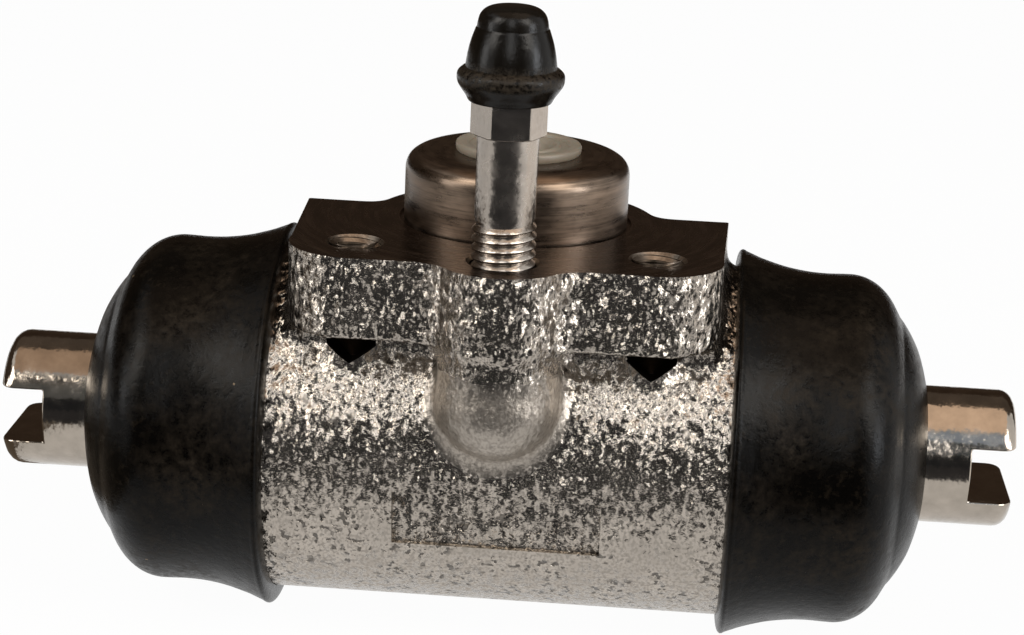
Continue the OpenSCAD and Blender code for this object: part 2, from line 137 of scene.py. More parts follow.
class WheelCylinderStage(bpy.types.PropertyGroup):
    """Place of the camera and the floor."""
    camera_turn: angle("Turn", "Turn of the camera round the upright", 3.425)
    camera_rise: angle("Rise", "Rise of the camera above the level", 16.30)
    camera_roll: angle("Roll", "Roll of the camera", 2.559)
    camera_reach: length("Reach", "Distance from the camera to its target", 292.856)
    target: FloatVectorProperty(
        name="Target", description="Point that the camera faces", size=3, precision=5, subtype="TRANSLATION",
        default=(0.096 * MM, 0, -11.578 * MM),
    )
    lens: FloatProperty(
        name="Lens", description="Focal length on a 36 mm sensor, in millimetres", default=90.80,
    )
    floor_z: FloatProperty(
        name="Floor", description="Height of the floor", default=-46.6 * MM, precision=5, unit="LENGTH",
    )


# Modelling


def start_fresh():
    """Deselects everything, because operators act on all that is selected."""
    if bpy.context.mode != "OBJECT":
        bpy.ops.object.mode_set(mode="OBJECT")
    bpy.ops.object.select_all(action="DESELECT")


def pick(piece):
    """Makes one piece the only selected and active one."""
    start_fresh()
    piece.select_set(True)
    bpy.context.view_layer.objects.active = piece


def edit(piece):
    """Opens a piece in edit mode with all of it selected."""
    pick(piece)
    bpy.ops.object.mode_set(mode="EDIT")
    bpy.ops.mesh.select_mode(type="VERT")
    bpy.ops.mesh.select_all(action="SELECT")


def close():
    """Leaves edit mode."""
    bpy.ops.object.mode_set(mode="OBJECT")


def face_out(inside=False):
    """Turns all faces outwards, or inwards, and leaves edit mode."""
    bpy.ops.mesh.select_all(action="SELECT")
    bpy.ops.mesh.normals_make_consistent(inside=inside)
    close()


def choose_faces(piece, test):
    """In edit mode, selects the faces whose centre and normal pass a test."""
    bpy.ops.mesh.select_mode(type="FACE")
    shape = bmesh.from_edit_mesh(piece.data)
    chosen = 0
    for face in shape.faces:
        hit = bool(test(face.calc_center_median(), face.normal))
        face.select_set(hit)
        chosen += hit
    shape.select_flush_mode()
    bmesh.update_edit_mesh(piece.data)
    if not chosen:
        raise RuntimeError(f"no face to select on {piece.name}")


def finish_with(piece, kind, **settings):
    """Adds a modifier and applies it."""
    pick(piece)
    modifier = piece.modifiers.new(kind.title(), kind)
    for key, value in settings.items():
        setattr(modifier, key, value)
    bpy.ops.object.modifier_apply(modifier=modifier.name)


def cut(piece, tool, operation="DIFFERENCE"):
    """Cuts a tool out of a piece, or joins it on, and removes the tool."""
    finish_with(piece, "BOOLEAN", operation=operation, object=tool, solver="EXACT", material_mode="TRANSFER")
    pick(tool)
    bpy.ops.object.delete()


def shade(piece, degrees):
    """Shades a piece smooth, apart from edges sharper than an angle."""
    pick(piece)
    bpy.ops.object.shade_smooth_by_angle(angle=math.radians(degrees))


def paint(piece, *materials):
    """Gives a piece its materials."""
    piece.data.materials.clear()
    for material in materials:
        piece.data.materials.append(material)


def paint_faces(piece, slot, test):
    """Gives the faces that pass a test another of the piece's materials, and leaves edit mode."""
    choose_faces(piece, test)
    piece.active_material_index = slot
    bpy.ops.object.material_slot_assign()
    close()


def flowing(points, steps=6):
    """Points of a smooth line through pairs of numbers."""
    ends = [points[0], *points, points[-1]]
    line = []
    for a, b, c, d in zip(ends, ends[1:], ends[2:], ends[3:]):
        for i in range(steps):
            t = i / steps
            line.append(tuple(
                0.5 * (
                    2 * q + (r - p) * t + (2 * p - 5 * q + 4 * r - s) * t * t
                    + (3 * q - p - 3 * r + s) * t ** 3
                )
                for p, q, r, s in zip(a, b, c, d)
            ))
    return line + [tuple(points[-1])]


def drawn_line(name, points):
    """A line of edges, drawn by extruding one vertex from each point to the next."""
    start_fresh()
    bpy.ops.mesh.primitive_circle_add(vertices=3, radius=MM)
    piece = bpy.context.active_object
    piece.name = piece.data.name = name
    edit(piece)
    bpy.ops.mesh.merge(type="CENTER")
    bpy.ops.transform.translate(value=points[0])
    for before, after in zip(points, points[1:]):
        bpy.ops.mesh.extrude_region_move(TRANSFORM_OT_translate={"value": after - before})
    return piece


def turned(name, outline, along, centre, steps):
    """Spins a closed outline of (distance along the axis, radius), in millimetres, round an axis."""
    across = Z_AXIS if abs(along.x) > 0.5 else X_AXIS
    points = [centre + MM * (along * a + across * r) for a, r in [*outline, outline[0]]]
    piece = drawn_line(name, points)
    bpy.ops.mesh.select_all(action="SELECT")
    bpy.ops.mesh.spin(steps=steps, angle=math.tau, center=centre, axis=along)
    bpy.ops.mesh.select_all(action="SELECT")
    bpy.ops.mesh.remove_doubles(threshold=2e-6)
    bpy.ops.mesh.delete_loose(use_verts=True, use_edges=True, use_faces=False)
    face_out()
    return piece


def wound(name, tooth, axis, turns, pitch, steps, centre):
    """Winds an outline of points round an axis through the origin, then moves it to its centre."""
    piece = drawn_line(name, [MM * Vector(point) for point in tooth])
    close()
    finish_with(
        piece, "SCREW", axis=axis, angle=math.tau, screw_offset=pitch, iterations=turns,
        steps=steps, render_steps=steps, use_merge_vertices=False,
    )
    edit(piece)
    bpy.ops.mesh.remove_doubles(threshold=2e-6)
    bpy.ops.transform.translate(value=centre)
    close()
    return piece


def merged_copy(node, name):
    """A piece with its own copy of a CAD node's mesh, merged, and with its flat faces whole."""
    piece = bpy.data.objects.new(name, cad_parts[node].data.copy())
    bpy.context.scene.collection.objects.link(piece)
    piece.data.name = name
    piece.data.materials.clear()
    edit(piece)
    bpy.ops.mesh.customdata_custom_splitnormals_clear()
    bpy.ops.mesh.remove_doubles(threshold=2e-6)
    bpy.ops.mesh.dissolve_limited(angle_limit=math.radians(0.6))
    close()
    return piece


# Materials


def feed(tree, target, value):
    """Links a socket to an input, or sets the input to a constant."""
    if isinstance(value, bpy.types.NodeSocket):
        tree.links.new(value, target)
    else:
        target.default_value = value


def add(tree, kind, values=None, **settings):
    """Adds a node. A value is a constant, or the socket that feeds the input."""
    made = tree.nodes.new(kind)
    for key, value in settings.items():
        setattr(made, key, value)
    for key, value in (values or {}).items():
        feed(tree, made.inputs[key], value)
    return made


def maths(tree, operation, *values, clamp=False):
    """Adds a Math node and gives its result."""
    made = add(tree, "ShaderNodeMath", dict(enumerate(values)), operation=operation, use_clamp=clamp)
    return made.outputs[0]


def noise(tree, coordinates, scale, detail=2.0, roughness=0.5):
    """Adds a Noise Texture and gives its value."""
    values = {"Vector": coordinates, "Scale": scale, "Detail": detail, "Roughness": roughness}
    return add(tree, "ShaderNodeTexNoise", values).outputs["Fac"]


def ramp(tree, value, low, high, to_low=0.0, to_high=1.0):
    """Maps a value from one range to another, clamped."""
    values = {"Value": value, "From Min": low, "From Max": high, "To Min": to_low, "To Max": to_high}
    return add(tree, "ShaderNodeMapRange", values).outputs["Result"]


def mix(tree, factor, a, b):
    """Mixes two colours."""
    made = tree.nodes.new("ShaderNodeMix")
    made.data_type = "RGBA"
    for socket, value in (("Factor_Float", factor), ("A_Color", a), ("B_Color", b)):
        feed(tree, next(s for s in made.inputs if s.identifier == socket), value)
    return next(s for s in made.outputs if s.identifier == "Result_Color")


def rgba(value, gain=1.0):
    """A colour property as a socket value."""
    return tuple(gain * v for v in value) + (1.0,)


def effect(name, inputs, outputs, directions=()):
    """A new shader node group with named sockets: its tree, its inputs and its outputs."""
    tree = bpy.data.node_groups.new(name, "ShaderNodeTree")
    for label, kind, default in inputs:
        socket = tree.interface.new_socket(name=label, in_out="INPUT", socket_type=kind)
        if default is not None:
            socket.default_value = default
    for label in outputs:
        tree.interface.new_socket(name=label, in_out="OUTPUT", socket_type="NodeSocketFloat")
    for label in directions:
        tree.interface.new_socket(name=label, in_out="OUTPUT", socket_type="NodeSocketVector")
    return tree, tree.nodes.new("NodeGroupInput").outputs, tree.nodes.new("NodeGroupOutput").inputs


def vectors(tree, operation, *values, scale=None):
    """Adds a Vector Math node and gives its vector."""
    inputs = dict(enumerate(values))
    if scale is not None:
        inputs["Scale"] = scale
    return add(tree, "ShaderNodeVectorMath", inputs, operation=operation).outputs["Vector"]


def seen(tree):
    """One for rays from the camera, a reflection or a clear piece, and nought for the rest."""
    path = add(tree, "ShaderNodeLightPath").outputs
    bent = maths(tree, "ADD", path["Is Glossy Ray"], path["Is Transmission Ray"])
    return maths(tree, "ADD", path["Is Camera Ray"], bent, clamp=True)


def grain_effect():
    """The blasted, plated skin of a casting: facets that glint, a slow change of tone, dark pits."""
    tree, given, result = effect(
        "cast_grain",
        [
            ("Coordinates", "NodeSocketVector", None), ("Size", "NodeSocketFloat", 0.0004),
            ("Tilt", "NodeSocketFloat", 0.6), ("Pitting", "NodeSocketFloat", 0.0),
        ],
        ["Height", "Tone", "Glint", "Pits"],
        ["Normal"],
    )
    middle = (0.5, 0.5, 0.5)
    fine = maths(tree, "DIVIDE", 1.0, given["Size"])
    drawn = vectors(tree, "MULTIPLY", given["Coordinates"], (1.0, 1.0, 0.66))
    lumps = add(tree, "ShaderNodeTexNoise", {"Vector": drawn, "Scale": fine, "Detail": 1.0}).outputs["Color"]
    crumbs = add(tree, "ShaderNodeTexNoise", {
        "Vector": drawn, "Scale": maths(tree, "MULTIPLY", fine, 2.3), "Detail": 0.5}).outputs["Color"]
    lean = vectors(tree, "SCALE", vectors(tree, "SUBTRACT", lumps, middle), scale=given["Tilt"])
    ripple = vectors(tree, "SCALE", vectors(tree, "SUBTRACT", crumbs, middle), scale=maths(
        tree, "MULTIPLY", given["Tilt"], 0.4))
    outward = add(tree, "ShaderNodeNewGeometry").outputs["Normal"]
    facets = vectors(tree, "NORMALIZE", vectors(tree, "ADD", outward, vectors(tree, "ADD", lean, ripple)))
    tone = noise(tree, given["Coordinates"], maths(tree, "MULTIPLY", fine, 0.18), 3.0, 0.55)
    spots = noise(tree, given["Coordinates"], fine, 1.5, 0.55)
    pits = maths(tree, "MULTIPLY", given["Pitting"], maths(
        tree, "MULTIPLY", ramp(tree, spots, 0.57, 0.61), ramp(tree, tone, 0.46, 0.54)))
    # A random value per grain, which the casting uses as a painted glint in its colour.
    glint = add(tree, "ShaderNodeSeparateColor", {"Color": crumbs}).outputs["Green"]
    crust = noise(tree, given["Coordinates"], maths(tree, "MULTIPLY", fine, 2.0), 2.0, 0.6)
    height = maths(tree, "SUBTRACT", crust, pits)
    found = {"Height": height, "Tone": tone, "Glint": glint, "Pits": pits, "Normal": facets}
    for label, value in found.items():
        tree.links.new(value, result[label])
    return tree


def turning_effect():
    """Fine lines left by a turning tool round the Z axis: rings on a flat face, bands on a round one."""
    tree, given, result = effect(
        "turning_lines",
        [("Coordinates", "NodeSocketVector", None), ("Spacing", "NodeSocketFloat", 0.0002)],
        ["Lines", "Streaks"],
    )
    parts = add(tree, "ShaderNodeSeparateXYZ", {"Vector": given["Coordinates"]}).outputs
    squares = [maths(tree, "MULTIPLY", parts[axis], parts[axis]) for axis in ("X", "Y")]
    radius = maths(tree, "SQRT", maths(tree, "ADD", *squares))
    angle = maths(tree, "ARCTAN2", parts["Y"], parts["X"])
    fine = maths(tree, "DIVIDE", 1.0, given["Spacing"])
    lines = add(tree, "ShaderNodeCombineXYZ", {
        "X": maths(tree, "MULTIPLY", radius, fine), "Y": maths(tree, "MULTIPLY", parts["Z"], fine),
        "Z": maths(tree, "MULTIPLY", angle, 1.2),
    }).outputs["Vector"]
    streaks = add(tree, "ShaderNodeCombineXYZ", {
        "X": maths(tree, "MULTIPLY", radius, maths(tree, "MULTIPLY", fine, 0.22)),
        "Y": maths(tree, "MULTIPLY", parts["Z"], maths(tree, "MULTIPLY", fine, 0.22)),
        "Z": maths(tree, "MULTIPLY", angle, 3.0),
    }).outputs["Vector"]
    tree.links.new(noise(tree, lines, 1.0, 2.0, 0.6), result["Lines"])
    tree.links.new(noise(tree, streaks, 1.0, 3.0, 0.65), result["Streaks"])
    return tree


def dust_effect():
    """Dust and scuffs on rubber: cloudy patches, a fine mottle and a few pale specks."""
    tree, given, result = effect(
        "rubber_dust",
        [("Coordinates", "NodeSocketVector", None), ("Patch", "NodeSocketFloat", 0.008)],
        ["Dust", "Specks", "Mottle"],
    )
    coarse = maths(tree, "DIVIDE", 1.0, given["Patch"])
    patches = ramp(tree, noise(tree, given["Coordinates"], coarse, 5.0, 0.62), 0.44, 0.72)
    mottle = noise(tree, given["Coordinates"], maths(tree, "MULTIPLY", coarse, 9.0), 4.0, 0.7)
    dust = maths(tree, "MULTIPLY", patches, ramp(tree, mottle, 0.36, 0.72))
    cells = add(tree, "ShaderNodeTexVoronoi", {
        "Vector": given["Coordinates"], "Scale": maths(tree, "MULTIPLY", coarse, 2.6),
    }).outputs
    near = maths(tree, "LESS_THAN", cells["Distance"], 0.045)
    lot = add(tree, "ShaderNodeSeparateColor", {"Color": cells["Color"]}).outputs["Red"]
    few = maths(tree, "GREATER_THAN", lot, 0.72)
    tree.links.new(dust, result["Dust"])
    tree.links.new(maths(tree, "MULTIPLY", near, few), result["Specks"])
    tree.links.new(mottle, result["Mottle"])
    return tree


def edge_effect():
    """A mask of sharp edges, where plating wears and light catches."""
    tree, given, result = effect("edge_catch", [("Radius", "NodeSocketFloat", 0.0003)], ["Edge"])
    rounded = add(tree, "ShaderNodeBevel", {"Radius": given["Radius"]}, samples=6).outputs["Normal"]
    flat = add(tree, "ShaderNodeNewGeometry").outputs["Normal"]
    same = add(tree, "ShaderNodeVectorMath", {0: rounded, 1: flat}, operation="DOT_PRODUCT").outputs["Value"]
    tree.links.new(ramp(tree, same, 0.995, 0.85), result["Edge"])
    return tree


class Sheet:
    """A new material with its node tree, Principled shader and object coordinates."""

    def __init__(self, name):
        self.material = bpy.data.materials.new(name)
        self.material.use_nodes = True
        self.tree = self.material.node_tree
        self.shader = self.tree.nodes["Principled BSDF"]
        self.place = add(self.tree, "ShaderNodeTexCoord").outputs["Object"]

    def effect(self, name, **values):
        """Places a node group of effects and gives its outputs."""
        group = bpy.data.node_groups[name]
        made = add(self.tree, "ShaderNodeGroup", node_tree=group)
        for key, value in values.items():
            feed(self.tree, made.inputs[key.title()], value)
        return made.outputs

    def moved(self, shift, turn=(0.0, 0.0, 0.0)):
        """Object coordinates after a shift and a turn."""
        return add(self.tree, "ShaderNodeMapping", {
            "Vector": self.place, "Location": shift, "Rotation": turn,
        }).outputs["Vector"]

    def set(self, **values):
        """Sets or feeds the shader's inputs: base_color feeds Base Color, and so on."""
        for key, value in values.items():
            label = key.replace("_", " ").title().replace("Ior", "IOR")
            feed(self.tree, self.shader.inputs[label], value)

    def bump(self, height, depth, normal=None):
        """Feeds the shader's normal from a height, times a depth in metres."""
        values = {"Height": height, "Distance": depth, "Strength": 1.0}
        if normal is not None:
            values["Normal"] = normal
        made = add(self.tree, "ShaderNodeBump", values)
        self.tree.links.new(made.outputs["Normal"], self.shader.inputs["Normal"])


def along_bore(sheet, drop):
    """Object coordinates turned so that the bore axis is the Z axis through the origin."""
    return sheet.moved((-drop, 0.0, 0.0), (0.0, math.radians(-90), 0.0))


def cast_zinc(sizes, colours):
    """Zinc-plated cast skin: sparkling grain with a painted glint, drifting tone, and pits painted dark with
    shade.
    """
    sheet = Sheet("cast_zinc")
    tree = sheet.tree
    axis = -sizes.axis_drop
    boss = (0.0, -sizes.bleed_setback, axis + 8.5 * MM)
    away = add(tree, "ShaderNodeVectorMath", {0: sheet.place, 1: boss}, operation="DISTANCE").outputs["Value"]
    calm = ramp(tree, away, 8.1 * MM, 7.1 * MM)
    height = add(tree, "ShaderNodeSeparateXYZ", {"Vector": sheet.place}).outputs["Z"]
    steep = ramp(tree, height, axis + 13 * MM, axis + 15.5 * MM, 1.25, 1.7)
    skin = sheet.effect(
        "cast_grain", coordinates=sheet.place, size=sizes.grain,
        tilt=ramp(tree, calm, 0.0, 1.0, steep, 0.6),
        pitting=ramp(tree, height, axis - 1 * MM, axis - 5 * MM, 0.15, 0.8),
    )
    tone = ramp(tree, skin["Tone"], 0.3, 0.7)
    toned = mix(tree, tone, rgba(colours.zinc, 0.86), rgba(colours.zinc, 1.1))
    # Painted glint: some grains are painted darker, a painted sparkle of light and dark facets.
    facets = mix(tree, ramp(tree, skin["Glint"], 0.36, 0.56), rgba(colours.zinc, 0.72), toned)
    sheet.set(
        # Painted shade: the pits are dents in the bump, painted near-black as the shade inside them, with
        # more of them towards the bottom.
        base_color=mix(tree, skin["Pits"], facets, rgba(colours.zinc, 0.13)),
        metallic=1.0,
        roughness=maths(tree, "ADD", ramp(tree, skin["Tone"], 0.3, 0.7, 0.2, 0.28), maths(
            tree, "MULTIPLY", calm, 0.2)),
    )
    sheet.bump(skin["Height"], 0.00009, skin["Normal"])
    return sheet.material


def machined_metal(name, tint, spacing, depth, rough):
    """Bare machined metal with the lines of the tool round the spigot axis."""
    sheet = Sheet(name)
    tree = sheet.tree
    marks = sheet.effect("turning_lines", coordinates=sheet.place, spacing=spacing)
    shine = maths(tree, "ADD", maths(tree, "MULTIPLY", marks["Lines"], 0.4), maths(
        tree, "MULTIPLY", marks["Streaks"], 0.6))
    edge = sheet.effect("edge_catch", radius=0.00025)["Edge"]
    toned = mix(tree, ramp(tree, shine, 0.35, 0.65), rgba(tint, 0.55), rgba(tint, 1.5))
    sheet.set(
        # Painted highlight: the edges are painted lighter, where light catches them.
        base_color=mix(tree, edge, toned, rgba(tint, 1.9)),
        metallic=1.0,
        roughness=ramp(tree, marks["Streaks"], 0.3, 0.7, rough - 0.06, rough + 0.08),
    )
    sheet.bump(marks["Lines"], depth)
    return sheet.material


def boot_rubber(colours):
    """Dull black rubber with dusty scuffs, and edges painted paler as a highlight."""
    sheet = Sheet("boot_rubber")
    tree = sheet.tree
    marks = sheet.effect("rubber_dust", coordinates=sheet.place, patch=0.009)
    edge = sheet.effect("edge_catch", radius=0.0003)["Edge"]
    scuffs = maths(tree, "MULTIPLY", marks["Dust"], 0.7)
    film = maths(tree, "MULTIPLY", ramp(tree, marks["Mottle"], 0.53, 0.7), 0.22)
    # Real dust, and a painted highlight from the edge mask, which makes the edges paler in the dust colour.
    dust = maths(tree, "MAXIMUM", maths(tree, "MAXIMUM", scuffs, film), maths(
        tree, "MULTIPLY", edge, 0.9))
    dusty = mix(tree, dust, rgba(colours.rubber), rgba(colours.dust))
    sheet.set(
        base_color=mix(tree, marks["Specks"], dusty, rgba(colours.dust, 5.0)),
        roughness=ramp(tree, marks["Dust"], 0.0, 0.6, 0.26, 0.5),
        specular_ior_level=0.09,
    )
    sheet.bump(marks["Mottle"], 0.00006)
    return sheet.material


def cap_rubber(colours):
    """Glossy black cap rubber, dusty on its bead."""
    sheet = Sheet("cap_rubber")
    tree = sheet.tree
    marks = sheet.effect("rubber_dust", coordinates=sheet.place, patch=0.004)
    height = add(tree, "ShaderNodeSeparateXYZ", {"Vector": sheet.place}).outputs["Z"]
    bead = maths(tree, "MULTIPLY", ramp(tree, height, 18.6 * MM, 19.4 * MM), ramp(
        tree, height, 21.6 * MM, 20.6 * MM))
    dust = maths(tree, "MULTIPLY", bead, ramp(tree, marks["Mottle"], 0.40, 0.66))
    dust = maths(tree, "MAXIMUM", maths(tree, "MULTIPLY", dust, 0.8), maths(
        tree, "MULTIPLY", marks["Dust"], 0.2))
    sheet.set(
        base_color=mix(tree, dust, rgba(colours.cap), rgba(colours.dust, 1.1)),
        roughness=ramp(tree, dust, 0.0, 0.6, 0.18, 0.6),
        specular_ior_level=0.16,
    )
    sheet.bump(marks["Mottle"], 0.00003)
    return sheet.material


def plated_steel(name, tint, grain, tilt, rough):
    """Bright plated steel with a fine crystal skin, lighter on its edges."""
    sheet = Sheet(name)
    tree = sheet.tree
    skin = sheet.effect("cast_grain", coordinates=sheet.place, size=grain, tilt=tilt)
    edge = sheet.effect("edge_catch", radius=0.0002)["Edge"]
    toned = mix(tree, ramp(tree, skin["Tone"], 0.3, 0.7), rgba(tint, 0.86), rgba(tint, 1.12))
    sheet.set(
        # Edges painted lighter: worn plating and a painted highlight where light catches them.
        base_color=mix(tree, edge, toned, rgba(tint, 1.5)),
        metallic=1.0,
        roughness=ramp(tree, skin["Tone"], 0.3, 0.7, rough - 0.05, rough + 0.06),
    )
    tree.links.new(skin["Normal"], sheet.shader.inputs["Normal"])
    return sheet.material


def turned_metal(name, tint, drop, spacing, rough):
    """Metal turned round the bore axis."""
    sheet = Sheet(name)
    tree = sheet.tree
    marks = sheet.effect("turning_lines", coordinates=along_bore(sheet, drop), spacing=spacing)
    sheet.set(
        base_color=mix(tree, marks["Streaks"], rgba(tint, 0.8), rgba(tint, 1.15)),
        metallic=1.0,
        roughness=ramp(tree, marks["Lines"], 0.3, 0.7, rough - 0.05, rough + 0.08),
    )
    sheet.bump(marks["Lines"], 0.000006)
    return sheet.material


def moulded_plastic(colours):
    """Cream moulded plastic, a little grubby."""
    sheet = Sheet("plug_plastic")
    tree = sheet.tree
    marks = sheet.effect("rubber_dust", coordinates=sheet.place, patch=0.003)
    grime = maths(tree, "MULTIPLY", marks["Dust"], 0.5)
    sheet.set(
        base_color=mix(tree, grime, rgba(colours.plug), rgba(colours.plug, 0.55)),
        roughness=ramp(tree, marks["Mottle"], 0.3, 0.7, 0.34, 0.5),
        subsurface_weight=0.1,
        subsurface_scale=0.001,
    )
    sheet.bump(marks["Mottle"], 0.00002)
    return sheet.material


def soft_rubber(colours):
    """Smooth seal rubber, wet with fluid."""
    sheet = Sheet("cup_rubber")
    tree = sheet.tree
    marks = sheet.effect("rubber_dust", coordinates=sheet.place, patch=0.005)
    sheet.set(
        base_color=mix(tree, marks["Dust"], rgba(colours.cup), rgba(colours.cup, 2.0)),
        roughness=ramp(tree, marks["Mottle"], 0.3, 0.7, 0.2, 0.35),
    )
    return sheet.material


# Operators


class WHEELCYL_OT_effects(bpy.types.Operator):
    """Builds the surface effects that the materials share"""
    bl_idname = "wheelcyl.effects"
    bl_label = "Surface Effects"

    def execute(self, context):
        for build in (grain_effect, turning_effect, dust_effect, edge_effect):
            build()
        return {"FINISHED"}


class WHEELCYL_OT_body(bpy.types.Operator):
    """Casts the body, softens it, machines its face, holes and bore, and turns the spigot"""
    bl_idname = "wheelcyl.body"
    bl_label = "Cast and Machined Body"

    raise_face = 1.5 * MM
    chamfer = 0.35 * MM
    drill_point = 0.6

    def rough_casting(self, sizes):
        """The casting with its bores plugged and its mounting face left proud, softened all over."""
        casting = merged_copy("cylinder_body", "casting")
        edit(casting)
        choose_faces(casting, lambda centre, normal: normal.z > 0.99 and abs(centre.z) < 0.02 * MM)
        bpy.ops.mesh.extrude_region_move(TRANSFORM_OT_translate={"value": (0, 0, self.raise_face)})
        top = self.raise_face - 0.1 * MM
        plugs = [
            (0, 0, sizes.spigot_r + 2 * MM, -5 * MM, top),
            (0, 0, 8 * MM, -20 * MM, top),
            (0, -sizes.bleed_setback, sizes.bleed_hole_r + 0.1 * MM, -18 * MM, top),
            (0, -sizes.bleed_setback, sizes.bleed_hole_r + 0.6 * MM, -0.8 * MM, top),
        ]
        for side in (-1, 1):
            x, y = side * sizes.hole_spacing / 2, -sizes.hole_setback
            plugs += [(x, y, 2.65 * MM, -13 * MM, top), (x, y, 3.6 * MM, -1 * MM, top)]
        for x, y, r, low, high in plugs:
            bpy.ops.mesh.primitive_cylinder_add(
                vertices=48, radius=r, depth=high - low, location=(x, y, (low + high) / 2))
        bpy.ops.mesh.primitive_cylinder_add(
            vertices=192, radius=sizes.barrel_r, depth=57.4 * MM, location=(0, 0, -sizes.axis_drop),
            rotation=(0, math.radians(90), 0))
        close()
        casting.data.remesh_voxel_size = sizes.casting_detail
        bpy.ops.object.voxel_remesh()
        for shift in (sizes.fillet, -sizes.fillet):
            finish_with(casting, "DISPLACE", strength=shift, mid_level=0)
            bpy.ops.object.voxel_remesh()
        finish_with(casting, "SMOOTH", factor=0.5, iterations=sizes.softening)
        return casting

    def drill(self, name, x, y, r, depth, materials):
        """A drill with its countersink, ready to cut. Its second material is the painted shade for the depth
        of the hole.
        """
        r, depth, chamfer, above = r / MM, depth / MM, self.chamfer / MM, 2.4
        tool = turned(name, [
            (above, 0), (above, r + chamfer + above), (0, r + chamfer), (-chamfer, r), (-depth, r),
            (-depth - self.drill_point * r, 0),
        ], Z_AXIS, Vector((x, y, 0)), 64)
        paint(tool, *materials)
        edit(tool)
        # Painted shade on the walls more than 2 mm down.
        paint_faces(tool, 1, lambda centre, normal: centre.z < -2 * MM)
        return tool

    def block(self, name, corners, shift, material):
        """A straight block, ready to cut, from the corners of one end and the shift to the other."""
        start_fresh()
        bpy.ops.mesh.primitive_circle_add(vertices=len(corners), radius=MM, fill_type="NGON")
        tool = bpy.context.active_object
        tool.name = tool.data.name = name
        for vertex, corner in zip(tool.data.vertices, corners):
            vertex.co = Vector(corner) * MM
        edit(tool)
        bpy.ops.mesh.extrude_region_move(TRANSFORM_OT_translate={"value": Vector(shift) * MM})
        face_out()
        paint(tool, material)
        return tool

    def breakout(self, x, sizes, material):
        """The tool that opens the point of a mounting hole's drill under the flange, its faces in the painted
        shade.
        """
        x, y = x / MM, 0.3 - sizes.hole_setback / MM
        corners = [(-2.71, -8.9), (2.71, -8.9), (2.69, -11.2), (0.02, -12.95), (-2.69, -11.2)]
        return self.block("breakout", [(x + across, y, up) for across, up in corners], (0, -5.1, 0), material)

    def panel(self, sizes, material):
        """The tool that cuts the flat-floored panel into the barrel's front."""
        drop = sizes.axis_drop / MM
        corners = [(-17.97, -1.15), (-17.61, -7.95), (-27.3, -10.4), (-27.7, -3.6)]
        return self.block("panel", [(-10.9, y, z - drop) for y, z in corners], (22.7, 0, 0), material)

    def lining(self, name, x, y, crest, root, low, turns, pitch, material):
        """The thread in a tapped hole."""
        tooth = [(root, 0), (root, 0.12), (crest, 0.45), (crest, 0.55), (root, 0.88), (root, 1.0)]
        points = [(r, 0, low + rise) for r, rise in tooth]
        thread = wound(name, points, "Z", turns, pitch, 40, Vector((x, y, 0)))
        edit(thread)
        face_out(inside=True)
        paint(thread, material)
        shade(thread, 40)
        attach(thread, "cylinder")

    def execute(self, context):
        sizes, colours = context.scene.wheel_sizes, context.scene.wheel_colours
        skin = cast_zinc(sizes, colours)
        face = machined_metal("machined_face", colours.machined, 0.00025, 0.000001, 0.25)
        spigot_skin = machined_metal("turned_spigot", colours.spigot, 0.00022, 0.000005, 0.3)
        bored = machined_metal("drilled_wall", colours.drilled, 0.0003, 0.00001, 0.3)
        # Painted shade for the depths of the holes and the notches.
        hole_shade = machined_metal("painted_hole_shade", colours.hole_shade, 0.0003, 0.00001, 0.45)

        casting = self.rough_casting(sizes)
        paint(casting, skin, face)
        axis = Vector((0, 0, -sizes.axis_drop))
        bore, port, passage = sizes.bore_r / MM, sizes.inlet_r / MM, sizes.passage_r / MM
        spigot_r, spigot_h = sizes.spigot_r / MM, sizes.spigot_h / MM
        relief_r, relief_z = spigot_r + sizes.relief_w / MM, -sizes.relief_depth / MM
        port_z = spigot_h - sizes.inlet_depth / MM
        reamer = turned("reamer", [(-31, 0), (-31, bore), (31, bore), (31, 0)], X_AXIS, axis, 96)
        well = turned("well", [
            (2, 0), (2, relief_r + 0.1), (relief_z, relief_r), (relief_z, port), (port_z, port),
            (port_z - 2.2, passage), (-20, passage), (-20, 0),
        ], Z_AXIS, Vector((0, 0, 0)), 128)
        bleed = self.drill(
            "bleed_drill", 0, -sizes.bleed_setback, sizes.bleed_hole_r, sizes.bleed_depth, (bored, hole_shade))
        paint(reamer, bored)
        paint(well, face)
        tools = [reamer, well, bleed, self.panel(sizes, skin)]
        for side in (-1, 1):
            x, y = side * sizes.hole_spacing / 2, -sizes.hole_setback
            tools.append(self.drill("hole_drill", x, y, sizes.hole_r, sizes.hole_depth, (bored, hole_shade)))
            tools.append(self.breakout(x, sizes, hole_shade))
            groove = turned(
                "boot_groove", [(26, 18.4), (26, 24), (28, 24), (28, 18.4)], side * X_AXIS, axis, 128)
            paint(groove, bored)
            tools.append(groove)
        for tool in tools:
            cut(casting, tool)
        edit(casting)
        bpy.ops.mesh.bisect(plane_co=(0, 0, 0), plane_no=(0, 0, 1), use_fill=True, clear_outer=True)
        paint_faces(casting, 1, lambda centre, normal: normal.z > 0.99 and centre.z > -0.001 * MM)
        edit(casting)
        bpy.ops.mesh.remove_doubles(threshold=5e-6)
        bpy.ops.mesh.fill_holes(sides=6)
        close()
        shade(casting, 38)
        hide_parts("cylinder_body")
        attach(casting, "cylinder")

